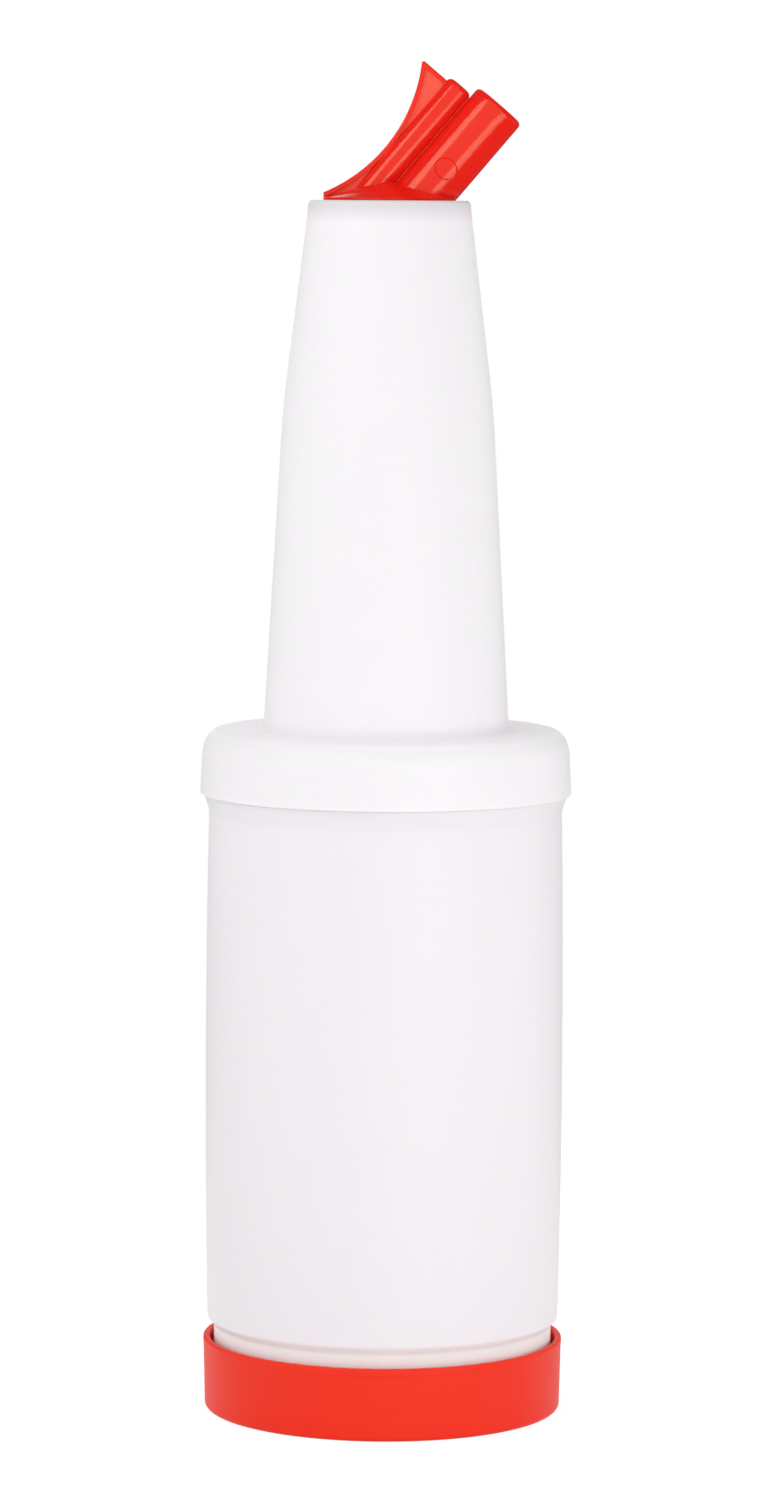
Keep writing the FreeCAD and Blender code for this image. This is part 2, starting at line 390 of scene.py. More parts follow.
def red_polypropylene(name, colour, deep_colour, roughness, gloss, mould_line, edge_radius):
    """Red polypropylene, injection-moulded: dense colour under a polished or satin skin.

    Fine lines of the turned mould run round it, mould_line apart, and the colour deepens
    faintly in the flow of the plastic. Its edges catch the light over edge_radius, and gloss
    is how bright its reflections are, 0.5 being plain.
    """
    material, tree = new_tree(name)
    place = add_node(tree, "ShaderNodeTexCoord", {}, {}).outputs["Object"]
    flow_place = add_node(tree, "ShaderNodeMapping", {}, {
        "Vector": place, "Scale": (0.25, 0.25, 3)})
    flow = add_node(tree, "ShaderNodeTexNoise", {}, {
        "Vector": flow_place.outputs["Vector"], "Scale": 1 / FLOW_SIZE, "Detail": 3.0,
        "Roughness": 0.5})
    tint = blend(tree, flow.outputs["Fac"], linear(deep_colour), linear(colour))
    line_place = add_node(tree, "ShaderNodeMapping", {}, {
        "Vector": place, "Scale": (0.05, 0.05, 1)})
    lines = add_node(tree, "ShaderNodeTexNoise", {}, {
        "Vector": line_place.outputs["Vector"], "Scale": 1 / mould_line, "Detail": 2.0})
    turned_skin = add_node(tree, "ShaderNodeBump", {}, {
        "Height": lines.outputs["Fac"], "Strength": 0.1, "Distance": LINE_DEPTH})
    edge = add_node(tree, "ShaderNodeBevel", {"samples": 8}, {
        "Radius": edge_radius, "Normal": turned_skin.outputs["Normal"]})
    plastic = add_node(tree, "ShaderNodeBsdfPrincipled", {"subsurface_method": "RANDOM_WALK"}, {
        "Base Color": tint, "Roughness": roughness, "IOR": 1.49,
        "Specular IOR Level": gloss, "Specular Tint": (1.0, 0.85, 0.58, 1.0),
        "Subsurface Weight": 0.3, "Subsurface Radius": (1.0, 0.25, 0.2),
        "Subsurface Scale": 1.0 * MM,
        "Normal": edge.outputs["Normal"]})
    add_node(tree, "ShaderNodeOutputMaterial", {}, {"Surface": plastic.outputs["BSDF"]})
    return material


# ---- Sizes and colours that a user would change ----

def size(name, value, description):
    """Length property in metres from a value in millimetres."""
    return bpy.props.FloatProperty(
        name=name, description=description, default=value * MM, min=0, unit="LENGTH",
        precision=5)


def distance(name, value, description):
    """Length property in metres from a value in metres."""
    return bpy.props.FloatProperty(
        name=name, description=description, default=value, unit="LENGTH")


def turning(name, degrees, description):
    """Angle property from a value in degrees."""
    return bpy.props.FloatProperty(
        name=name, description=description, default=math.radians(degrees), subtype="ANGLE")


def number(name, value, description):
    """Plain number property."""
    return bpy.props.FloatProperty(name=name, description=description, default=value)


def paint(name, code, description):
    """Colour property, as the six digits of an sRGB hex code."""
    return bpy.props.StringProperty(name=name, description=description, default=code)


class ContainerSettings(bpy.types.PropertyGroup):
    wall: size("Wall", 1.8, "Thickness of the blow-moulded wall")
    belly: size("Belly", 0.6, "How far the body swells at half its height")
    foot_height: size("Foot height", 19.3, "Height of the narrower foot that the lid goes over")
    foot_step: size("Foot step", 1.6, "How far the foot is drawn in from the body")
    step_round: size("Step round", 0.5, "Rounding of both edges of the foot's step")
    foot_corner: size("Foot corner", 3.0, "Rounding between the foot and the floor")
    bead_proud: size("Bead", 1.35, "How far the bead under the collar stands out")
    bead_height: size("Bead height", 4.0, "Height of the flare up to the bead")
    bead_round: size("Bead round", 0.6, "Rounding of the bead's edge")
    mouth_height: size("Mouth height", 13.45, "Height of the mouth hidden in the collar")
    mouth_step: size("Mouth step", 0.65, "How far the mouth is drawn in from the body")
    mouth_round: size("Mouth round", 1.3, "Rounding of the mouth's edge")
    colour: paint("Colour", "F4F0F4", "sRGB hex of the milky plastic")
    thin_colour: paint("Thin colour", "F0ECF0", "sRGB hex where the wall is thinnest")
    # Painted light: below the step the foot is painted lighter and less pink than the wall, for
    # light reaching it there, against the red lid's bounce
    painted_shading_colour: paint("Thick colour", "F7FCFC", "sRGB hex at the thick foot")


class LidSettings(bpy.types.PropertyGroup):
    wall: size("Wall", 1.6, "Thickness of the lid's wall and floor")
    draft: size("Draft", 0.35, "How much narrower the lid is at its floor")
    corner: size("Corner", 1.3, "Rounding round the floor outside")
    inner_corner: size("Inner corner", 0.6, "Rounding round the floor inside")
    lip_height: size("Lip height", 1.6, "Height of the proud lip round the rim")
    lip_proud: size("Lip", 0.08, "How far the lip stands out")
    lip_round: size("Lip round", 0.5, "Rounding of both edges of the rim")
    colour: paint("Colour", "F43120", "sRGB hex of the red plastic")
    deep_colour: paint("Deep colour", "F02C1A", "sRGB hex where the red is deepest")


class NeckSettings(bpy.types.PropertyGroup):
    wall: size("Wall", 1.8, "Thickness of the two cones")
    shoulder_wall: size("Shoulder wall", 2.0, "Thickness of the flat shoulder")
    collar_wall: size("Collar wall", 2.2, "Thickness of the collar")
    collar_height: size("Collar height", 15.4, "Height of the collar from its edge to the shoulder")
    collar_draft: size("Collar draft", 0.8, "How much narrower the collar is at the shoulder")
    collar_edge: size("Collar edge", 0.25, "Rounding of the collar's lower edge")
    shoulder_drop: size("Shoulder drop", 5.9, "How far the shoulder's rounding reaches down")
    shoulder_round: size("Shoulder round", 3.55, "How far the shoulder's rounding reaches in")
    seat_round: size("Seat round", 1.0, "Rounding inside the collar, over the container's mouth")
    root_radius: size("Root radius", 29.75, "Radius of the lower cone at the shoulder")
    root_round: size("Root round", 2.6, "Rounding where the cone rises from the shoulder")
    waist_radius: size("Waist radius", 25.4, "Radius where the two cones meet")
    waist_blend: size("Waist blend", 7.0, "Length of the soft bend where the two cones meet")
    lower_height: size("Lower height", 77.8, "Height of the lower cone")
    ring_radius: size("Ring radius", 20.0, "Radius at the foot of the ring round the mouth")
    ring_height: size("Ring height", 5.6, "Height of the ring round the mouth")
    ring_thickness: size("Ring thickness", 3.0, "Depth of the thick part of the ring")
    ring_corner: size("Ring corner", 1.0, "Rounding of the ring's edge")
    top_radius: size("Top radius", 19.45, "Radius of the neck at its very top")
    bore: size("Bore", 13.2, "Radius of the mouth that the spout's plug fits")
    colour: paint("Colour", "FBF4FB", "sRGB hex of the milky plastic")
    thin_colour: paint("Thin colour", "F7F0F7", "sRGB hex where the wall is thinnest")
    # Painted shade: the ring at the top is painted darker, for the light that the thick ring and
    # the spout's plug inside hold back
    painted_shading_colour: paint("Thick colour", "DAD8D8", "sRGB hex at the thick mouth")


class SpoutSettings(bpy.types.PropertyGroup):
    plug_clearance: size("Plug clearance", 0.2, "Gap between the plug and the neck's mouth")
    plug_wall: size("Plug wall", 1.5, "Thickness of the hollow plug")
    plug_chamfer: size("Plug chamfer", 1.0, "Rounding of the plug's lower edge")
    flange_edge: size("Flange edge", 0.6, "Thickness of the flange at its edge")
    flange_round: size("Flange round", 0.2, "Rounding of the flange's edge")
    cone_rise: size("Cone rise", 4.5, "Height of the shallow cone on the flange")
    ceiling: size("Ceiling", 0.9, "Height over the flange's underside where the tubes open")
    tube_angle: turning("Tube angle", 49.7, "Slope of the tubes above level")
    tube_inset: size("Tube inset", 0.1, "How far the pour tube's foot stays inside the flange")
    pour_radius: size("Pour tube", 6.8, "Outer radius of the pour tube")
    pour_wall: size("Pour wall", 1.6, "Wall of the pour tube")
    pour_run: size("Pour run", 29.95, "Length of the pour tube along its axis")
    pour_round: size("Pour end", 1.2, "Rounding of the pour tube's end")
    air_radius: size("Air tube", 3.4, "Outer radius of the air tube")
    air_wall: size("Air wall", 1.75, "Wall of the air tube")
    air_setback: size("Air setback", 2.55, "How much earlier the air tube ends")
    air_round: size("Air end", 1.25, "Height of the air tube's domed end")
    bore_round: size("Bore round", 0.3, "Easing of both bores at their mouths")
    valley_radius: size("Valley", 0.3, "Radius of the valley between the tubes")
    fin_reach: size("Fin reach", 11.15, "Height of the fin's tip over the air tube's axis")
    fin_toe: size("Fin toe", 1.85, "Height of the fin where it starts on the flange")
    fin_hollow: size("Fin hollow", 5.5, "Depth of the fin's hollow back edge")
    fin_rim: size("Fin rim", 2.6, "Thickness of the fin along its rim")
    fin_rim_width: size("Fin rim width", 1.1, "Width of the rim round the thinner panel")
    fin_web: size("Fin panel", 1.6, "Thickness of the panel inside the rim")
    fin_inset: size("Fin inset", 0.1, "How far the toe stays inside the flange's edge")
    fin_tip: size("Fin tip", 0.5, "Rounding of the fin's tip")
    fin_edge: size("Fin edge", 0.4, "Rounding of the fin's rim")
    pad_radius: size("Pad", 2.3, "Radius of the low round mark on the pour tube's side")
    pad_proud: size("Pad height", 0.35, "How far the mark stands out")
    pad_slope: number("Pad slope", 0.6, "How much the mark widens towards the tube, to its depth")
    pad_setback: size("Pad setback", 20.0, "Distance of the mark from the pour tube's end")
    colour: paint("Colour", "F02216", "sRGB hex of the red plastic")
    deep_colour: paint("Deep colour", "EC1C12", "sRGB hex where the red is deepest")
    # Painted sheen: the fin's panel is painted a lighter, paler red, for the softboxes' light that
    # its rough face reflects
    painted_sheen_panel_colour: paint("Panel colour", "FF5A4A", "sRGB hex of the fin's thin panel")


class StageSettings(bpy.types.PropertyGroup):
    camera_distance: distance("Camera distance", 1.38, "From the bottle's axis to the camera")
    camera_tilt: turning("Camera tilt", 5.4936, "How far the camera looks down")
    camera_roll: turning("Camera roll", 0.377, "How far the camera is turned about its view")
    lens: number("Lens", 137.17, "Focal length in millimetres on a 36 mm sensor")
    floor_size: distance("Floor", 0.64, "Width of the table's white top")
    ambient: number("Ambient", 0.81, "Brightness of the room all round")
    dim: number("Dim sides", 0.08, "Brightness of the room's sides in gloss")
    light_distance: distance("Light distance", 0.6, "From the bottle's axis to a softbox")
    left_light: number("Left softbox", 3.4, "Brightness of the left softbox's face")
    right_light: number("Right softbox", 3.1, "Brightness of the right softbox's face")
    left_fill: number("Left fill", 0.55, "Brightness of the weak wide fill at the left")
    right_fill: number("Right fill", 0.4, "Brightness of the weak fill at the right")


# ---- The pieces ----

class BOTTLE_OT_container(bpy.types.Operator):
    """Model the open container with its foot, belly, bead and mouth"""
    bl_idname = "bottle.container"
    bl_label = "Container"

    def execute(self, context):
        s = context.scene.bottle_container
        bead_radius = CONTAINER_HIGH.x
        foot_z = CONTAINER_LOW.z
        seat_z = CONTAINER_HIGH.z
        bead_top_z = seat_z - s.mouth_height
        body_top_z = bead_top_z - s.bead_height
        foot_top_z = foot_z + s.foot_height
        body_z = foot_top_z + s.foot_step
        body_radius = bead_radius - s.bead_proud
        foot_radius = body_radius - s.foot_step
        mouth_radius = body_radius - s.mouth_step
        middle_z = (body_z + body_top_z) / 2
        bow = (body_top_z - body_z) / 2 - s.foot_step
        belly = s.belly / REACH
        outline = rounded(
            (0, foot_z),
            (foot_radius, foot_z, s.foot_corner),
            (foot_radius, foot_top_z, s.step_round),
            (body_radius, body_z, s.step_round),
            (body_radius + belly, middle_z, bow),
            (body_radius, body_top_z),
            (bead_radius, bead_top_z, s.bead_round),
            (mouth_radius, bead_top_z),
            (mouth_radius, seat_z, s.mouth_round),
            (mouth_radius - s.wall, seat_z),
            (mouth_radius - s.wall, bead_top_z),
            (body_radius - s.wall, body_top_z),
            (body_radius - s.wall + belly, middle_z, bow),
            (body_radius - s.wall, body_z + s.foot_step / 2),
            (foot_radius - s.wall, foot_top_z + s.foot_step / 2),
            (foot_radius - s.wall, foot_z + s.wall, s.foot_corner),
            (0, foot_z + s.wall),
        )
        piece = turned("container_wall", outline)
        # The foot gets painted light: full below the foot's top, fading out over the step
        material = milky_polyethylene(
            "blow_moulded_polyethylene", s.colour, s.thin_colour, s.painted_shading_colour,
            painted_shading_full_z=foot_top_z, painted_shading_start_z=body_z)
        finish_piece(piece, material, "container")
        return {"FINISHED"}


class BOTTLE_OT_lid(bpy.types.Operator):
    """Model the round lid stored under the foot"""
    bl_idname = "bottle.lid"
    bl_label = "Lid"

    def execute(self, context):
        s = context.scene.bottle_lid
        floor_z, rim_z = LID_LOW.z, LID_HIGH.z
        lip_radius = LID_HIGH.x
        wall_radius = lip_radius - s.lip_proud
        bore = lip_radius - s.wall
        lip_z = rim_z - s.lip_height
        outline = rounded(
            (0, floor_z),
            (wall_radius - s.draft, floor_z, s.corner),
            (wall_radius, lip_z - s.lip_proud),
            (lip_radius, lip_z),
            (lip_radius, rim_z, s.lip_round),
            (bore, rim_z, s.lip_round),
            (bore, floor_z + s.wall, s.inner_corner),
            (0, floor_z + s.wall),
        )
        piece = turned("lid", outline)
        material = red_polypropylene(
            "satin_red_polypropylene", s.colour, s.deep_colour, roughness=0.5, gloss=0.3,
            mould_line=1.6 * MM, edge_radius=0.25 * MM)
        finish_piece(piece, material, "cap")
        return {"FINISHED"}


class BOTTLE_OT_neck(bpy.types.Operator):
    """Model the tapered neck with its collar and the ring round its mouth"""
    bl_idname = "bottle.neck"
    bl_label = "Neck"

    def execute(self, context):
        s = context.scene.bottle_neck
        collar_z, top_z = NECK_LOW.z, NECK_HIGH.z
        collar_radius = NECK_HIGH.x
        collar_bore = collar_radius - s.collar_wall
        shoulder_z = collar_z + s.collar_height
        seat_z = shoulder_z - s.shoulder_wall
        waist_z = shoulder_z + s.lower_height
        ring_z = top_z - s.ring_height
        inner_ring_z = ring_z - s.ring_thickness
        outline = rounded(
            (collar_bore, collar_z),
            (collar_radius, collar_z, s.collar_edge),
            (collar_radius - s.collar_draft, shoulder_z, s.shoulder_drop, s.shoulder_round),
            (s.root_radius, shoulder_z, s.root_round),
            (s.waist_radius, waist_z, s.waist_blend),
            (s.ring_radius, ring_z),
            (s.top_radius, top_z, s.ring_corner),
            (s.bore, top_z),
            (s.bore, top_z - s.ring_thickness),
            (s.top_radius - s.wall, top_z - s.ring_thickness, s.ring_corner),
            (s.ring_radius - s.wall, inner_ring_z),
            (s.waist_radius - s.wall, waist_z, s.waist_blend),
            (s.root_radius - s.wall, seat_z, s.root_round),
            (collar_bore, seat_z, s.seat_round),
        )
        piece = turned("neck_wall", outline)
        # The top of the neck gets painted shade, growing from the ring's foot to the very top
        material = milky_polyethylene(
            "moulded_polyethylene", s.colour, s.thin_colour, s.painted_shading_colour,
            painted_shading_full_z=top_z, painted_shading_start_z=ring_z)
        finish_piece(piece, material, "neck")
        return {"FINISHED"}


class SpoutShape:
    """The spout's slanted frame, and the shapes that are drawn along its pour tube."""

    def __init__(self, s):
        self.s = s
        self.seat = flat(0, NECK_HIGH.z)
        self.flange_radius = -SPOUT_LOW.x
        self.lean = math.radians(90) - s.tube_angle
        foot_x = self.flange_radius - s.tube_inset - s.pour_radius / math.sin(s.tube_angle)
        self.foot = self.seat + flat(foot_x, 0)
        self.spacing = s.pour_radius + s.air_radius
        self.air_run = s.pour_run - s.air_setback
        self.web_run = self.air_run - s.air_round
        self.fin_run = self.web_run - FIN_SHORT
        self.air_axis = flat(-self.spacing, 0)
        toe = self.seat + flat(s.fin_inset - self.flange_radius, s.fin_toe)
        tip = self.on_slant(self.fin_run, self.spacing + s.fin_reach)
        self.toe_x = toe.x
        self.along = (self.on_slant(1, 0) - self.on_slant(0, 0)).normalized()
        self.rising = (self.on_slant(0, 1) - self.on_slant(0, 0)).normalized()
        self.back_centre, self.back_radius = bow_circle(toe, tip, s.fin_hollow)

    def slanted(self, piece):
        """Turn and move a piece drawn along Z at the origin to where the tubes stand."""
        pick(piece)
        piece.rotation_euler = (0, self.lean, 0)
        piece.location = self.foot
        apply_place()
        return piece

    def on_slant(self, run, rise):
        """Point at a distance along the pour tube's axis and a distance above that axis."""
        turn = Matrix.Rotation(self.lean, 3, "Y")
        return self.foot + turn @ flat(-rise, run)

    def cut_below(self, piece, height):
        """Take away what lies lower than a height over the neck's top, and close the cut."""
        bpy.context.view_layer.objects.active = piece
        edit_all()
        bpy.ops.mesh.bisect(
            plane_co=self.seat + UP * height, plane_no=UP, clear_inner=True, use_fill=True,
            threshold=WELD)
        return settle(piece)

    def base(self):
        """Plug, flange and shallow cone, turned in one."""
        s = self.s
        plug_radius = neck_bore() - s.plug_clearance
        top = self.seat.z
        return turned("spout_base", rounded(
            (0, SPOUT_LOW.z),
            (plug_radius, SPOUT_LOW.z, s.plug_chamfer),
            (plug_radius, top),
            (self.flange_radius, top, s.flange_round),
            (self.flange_radius, top + s.flange_edge, s.flange_round),
            (0, top + s.flange_edge + s.cone_rise),
        ))

    def hollow(self):
        """Space inside the plug, up to the ceiling and the cone's underside."""
        s = self.s
        radius = neck_bore() - s.plug_clearance - s.plug_wall
        top = self.seat.z
        below = SPOUT_LOW.z - s.plug_wall
        return turned("hollow", rounded(
            (0, below),
            (radius, below),
            (radius, top + s.ceiling),
            (0, top + s.flange_edge + s.cone_rise - s.plug_wall),
        ))

    def section(self):
        """Both tubes and the two webs between them, as four flat faces that share edges."""
        s = self.s
        pour_reach = s.pour_radius + s.valley_radius
        air_reach = s.air_radius + s.valley_radius
        valley_x = (self.spacing ** 2 + pour_reach ** 2 - air_reach ** 2) / (2 * self.spacing)
        valley_y = math.sqrt(pour_reach ** 2 - valley_x ** 2)
        pour_turn = math.acos(valley_x / pour_reach)
        air_turn = math.acos((self.spacing - valley_x) / air_reach)
        half = math.pi
        middle = WEB_STEPS // 2
        pour_outer = circle_points(
            ORIGIN, s.pour_radius, pour_turn - half, half - pour_turn, POUR_STEPS)
        pour_inner = circle_points(
            ORIGIN, s.pour_radius, half - pour_turn, half + pour_turn, WEB_STEPS)
        air_outer = circle_points(
            self.air_axis, s.air_radius, air_turn, 2 * half - air_turn, AIR_STEPS)
        air_inner = circle_points(self.air_axis, s.air_radius, -air_turn, air_turn, WEB_STEPS)
        faces = [
            filled("pour_disc", pour_outer + pour_inner[1:-1]),
            filled("air_disc", air_outer + air_inner[1:-1]),
        ]
        for side in (1, -1):
            centre = Vector((-valley_x, side * valley_y, 0))
            from_pour = -side * pour_turn
            to_air = -side * (half - air_turn)
            valley = circle_points(centre, s.valley_radius, from_pour, to_air, VALLEY_STEPS)
            pour_part = pour_inner[:middle + 1] if side > 0 else pour_inner[:middle - 1:-1]
            air_part = air_inner[middle:] if side > 0 else air_inner[middle::-1]
            faces.append(filled("web", pour_part + air_part[1:] + valley[-2:0:-1]))
        return joined("spout_tubes", faces)

    def tubes(self):
        """The two tubes: the section drawn down to the flange, and each tube's own end."""
        s = self.s
        piece = self.section()
        edit_all()
        bpy.ops.transform.translate(value=UP * self.web_run)
        extrude(UP * -(self.web_run + self.spacing))
        for axis, radius, rise, reach_in, reach_up in (
            (ORIGIN, s.pour_radius, s.pour_run - self.web_run, s.pour_round, s.pour_round),
            (self.air_axis, s.air_radius, s.air_round, s.air_wall - s.bore_round, s.air_round),
        ):
            top = axis + UP * self.web_run

            def is_disc(face):
                off_axis = (face.calc_center_bounds() - top).length
                return off_axis < s.bore_round and len(face.verts) > MANY_CORNERS

            if select_where(piece, "FACE", is_disc) != 1:
                raise RuntimeError("the tube's end was not found")
            if rise > reach_up:
                extrude(UP * (rise - reach_up))
            round_over(top, radius, reach_in, reach_up)
        settle(piece)
        return self.cut_below(self.slanted(piece), s.flange_edge / TUBE_SINK)

    def bore(self, radius, run, axis):
        """Hole down a tube, eased at its mouth, that stops at the plug's ceiling."""
        s = self.s
        mouth_radius = radius + s.bore_round
        past_end = run + s.bore_round
        piece = turned("bore", [
            flat(0, -self.spacing),
            flat(radius, -self.spacing),
            flat(radius, run - s.bore_round),
            flat(mouth_radius, run),
            flat(mouth_radius, past_end),
            flat(0, past_end),
        ], BORE_STEPS)
        piece.data.transform(Matrix.Translation(axis))
        return self.cut_below(self.slanted(piece), s.ceiling)

    def near_tip(self, inset):
        """Point at one distance from both the fin's hollow back and its straight top edge."""
        foot = self.on_slant(self.fin_run - inset, 0)
        away = foot - self.back_centre
        half = self.rising.dot(away)
        rest = away.length_squared - (self.back_radius + inset) ** 2
        return foot + self.rising * (-half - math.sqrt(half ** 2 - rest))

    def fin_outline(self, inset):
        """Closed outline of the fin, drawn in by a distance, with a round tip."""
        s = self.s
        tip_round = max(s.fin_tip - inset, s.fin_tip / TIP_SHRINK)
        centre = self.near_tip(inset + tip_round)
        radius = self.back_radius + inset
        x = self.toe_x + inset
        toe = flat(x, self.back_centre.z - math.sqrt(radius ** 2 - (x - self.back_centre.x) ** 2))
        back_end = self.back_centre + (centre - self.back_centre).normalized() * radius
        sag = radius - math.sqrt(radius ** 2 - (back_end - toe).length_squared / 4)
        edge_start = centre + self.along * tip_round
        bulge = tip_round - ((back_end + edge_start) / 2 - centre).length
        top = self.on_slant(self.fin_run - inset, self.spacing)
        low = self.seat.z + s.flange_edge / FIN_SINK
        foot = flat(top.x - (top.z - low) / math.tan(s.tube_angle), low)
        back = bowed(toe, back_end, sag, FIN_STEPS)
        tip = bowed(back_end, edge_start, -bulge, ROUND_STEPS)
        return back + tip[1:] + [top, foot, flat(x, low)]

    def slab(self, name, inset, near, far):
        """Flat plate in the fin's outline, drawn in by a distance, from near to far across."""
        piece = filled(name, [p + ACROSS * near for p in self.fin_outline(inset)])
        edit_all()
        extrude(ACROSS * (far - near))
        return settle(piece)

    def fin(self):
        """Upright fin with a round rim, sunk to a thinner panel on each side."""
        s = self.s
        half = s.fin_rim / 2
        piece = self.slab("spout_fin", 0, -half, half)
        bpy.ops.object.mode_set(mode="EDIT")
        select_where(piece, "EDGE", lambda edge: abs(sum(vert.co.y for vert in edge.verts)) > half)
        bpy.ops.mesh.bevel(offset=s.fin_edge, segments=RIM_STEPS, clamp_overlap=False)
        settle(piece)
        for side in (1, -1):
            near, far = side * s.fin_web / 2, side * s.fin_rim
            combine(piece, self.slab("fin_recess", s.fin_rim_width, near, far), "DIFFERENCE")
        return piece

    def is_panel(self, face):
        """Whether a face is the flat bottom of one of the fin's recesses."""
        level = abs(face.calc_center_median().y) - self.s.fin_web / 2
        return abs(level) < PANEL_NEAR and abs(face.normal.y) > PANEL_SQUARE

    def pad(self):
        """Low round mark on the pour tube's side, its face following the tube."""
        s = self.s
        centre = self.on_slant(s.pour_run - s.pad_setback, 0)
        front = s.pour_radius + 2 * s.pad_proud
        edge_turn = math.asin(s.pad_radius / s.pour_radius)
        depth = front - s.pour_radius * math.cos(edge_turn) + s.pad_proud
        front_radius = s.pad_radius - s.pad_proud * s.pad_slope
        bpy.ops.object.select_all(action="DESELECT")
        bpy.ops.mesh.primitive_cone_add(
            vertices=MARK_STEPS, radius1=front_radius + depth * s.pad_slope,
            radius2=front_radius, depth=depth, location=centre - ACROSS * (front - depth / 2),
            rotation=(math.radians(90), 0, 0))
        disc = bpy.context.object
        disc.name = disc.data.name = "spout_pad"
        apply_place()
        sleeve_radius = s.pour_radius + s.pad_proud
        sleeve = turned("sleeve", [
            flat(0, 0),
            flat(sleeve_radius, 0),
            flat(sleeve_radius, s.pour_run),
            flat(0, s.pour_run),
        ], SLEEVE_STEPS)
        combine(disc, self.slanted(sleeve), "INTERSECT")
        return disc


def bow_circle(start, end, depth):
    """Centre and radius of the arc from start to end that sags below its chord by a depth."""
    chord = end - start
    side = flat(chord.z, -chord.x).normalized()
    radius = (chord.length ** 2 / 4 + depth ** 2) / (2 * depth)
    return (start + end) / 2 + side * (depth - radius), radius


def bowed(start, end, depth, steps):
    """Points of that arc, both ends included. A negative depth bulges upwards."""
    centre, radius = bow_circle(start, end, depth)
    chord = end - start
    side = flat(chord.z, -chord.x).normalized()
    half = math.asin(chord.length / 2 / radius)
    points = []
    for step in range(steps + 1):
        angle = -half + 2 * half * step / steps
        along = chord.normalized() * math.sin(angle) * radius
        points.append(centre + along + side * math.cos(angle) * radius)
    return points


def neck_bore():
    """Radius of the neck's mouth, which the spout's plug fits."""
    return bpy.context.scene.bottle_neck.bore


class BOTTLE_OT_spout(bpy.types.Operator):
    """Model the spout: plug, flange and cone, pour tube and air tube, fin and round mark"""
    bl_idname = "bottle.spout"
    bl_label = "Spout"

    def execute(self, context):
        s = context.scene.bottle_spout
        shape = SpoutShape(s)
        piece = shape.base()
        piece.name = piece.data.name = "slanted_spout"
        for part in (shape.tubes(), shape.fin(), shape.pad()):
            combine(piece, part, "UNION")
        combine(piece, shape.hollow(), "DIFFERENCE")
        combine(piece, shape.bore(s.pour_radius - s.pour_wall, s.pour_run, ORIGIN), "DIFFERENCE")
        air_bore = shape.bore(s.air_radius - s.air_wall, shape.air_run, shape.air_axis)
        combine(piece, air_bore, "DIFFERENCE")
        bpy.ops.object.mode_set(mode="EDIT")
        settle(piece)
        material = red_polypropylene(
            "polished_red_polypropylene", s.colour, s.deep_colour, roughness=0.14, gloss=0.5,
            mould_line=2.5 * MM, edge_radius=0.15 * MM)
        finish_piece(piece, material, "spout")
        # The fin's panels get a rougher finish, which is real, and a lighter red, which is a
        # painted sheen
        piece.data.materials.append(red_polypropylene(
            "etched_red_polypropylene_painted_sheen", s.painted_sheen_panel_colour, s.painted_sheen_panel_colour, roughness=0.5, gloss=0.5,
            mould_line=2.5 * MM, edge_radius=0.15 * MM))
        bpy.ops.object.mode_set(mode="EDIT")
        select_where(piece, "FACE", shape.is_panel)
        piece.active_material_index = 1
        bpy.ops.object.material_slot_assign()
        bpy.ops.object.mode_set(mode="OBJECT")
        return {"FINISHED"}


class BOTTLE_OT_stage(bpy.types.Operator):
    """Set the white floor, the room, the two softboxes with their fills, and the camera"""
    bl_idname = "bottle.stage"
    bl_label = "Stage"

    def execute(self, context):
        s = context.scene.bottle_stage
        white_floor(s.floor_size)
        white_room(s.ambient, s.dim)
        for *box, setting in SOFTBOXES:
            softbox(*box, s.light_distance, getattr(s, setting))
        set_camera(s)
        context.scene.view_settings.view_transform = "Standard"
        return {"FINISHED"}


def aim(place, target):
    """Turn that points an object's own -Z from its place to a target."""
    return (target - place).to_track_quat("-Z", "Y").to_euler()


def softbox(name, from_turn, to_turn, bottom, top, reach, brightness):
    """Upright softbox at a reach from the bottle's axis, turned towards it.

    It stands between two angles from the front, in degrees, and two heights. Brightness is
    that of its face, where white is 1.
    """
    half = math.radians(to_turn - from_turn) / 2
    turn = math.radians(to_turn + from_turn) / 2
    place = Vector((math.sin(turn) * reach, -math.cos(turn) * reach, (bottom + top) / 2))
    bpy.ops.object.light_add(type="AREA", location=place, rotation=aim(place, flat(0, place.z)))
    light = bpy.context.object
    light.name = light.data.name = name
    light.data.shape = "RECTANGLE"
    light.data.size = 2 * reach * math.tan(half)
    light.data.size_y = top - bottom
    light.data.energy = brightness * math.pi * light.data.size * light.data.size_y


def seen_directly(tree):
    """1 for what is seen straight, in gloss or through a piece, and 0 for diffuse light."""
    path = add_node(tree, "ShaderNodeLightPath", {}, {}).outputs
    shiny = add_node(tree, "ShaderNodeMath", {"operation": "MAXIMUM"}, {
        0: path["Is Glossy Ray"], 1: path["Is Transmission Ray"]})
    return add_node(tree, "ShaderNodeMath", {"operation": "MAXIMUM"}, {
        0: path["Is Camera Ray"], 1: shiny.outputs[0]}).outputs[0]


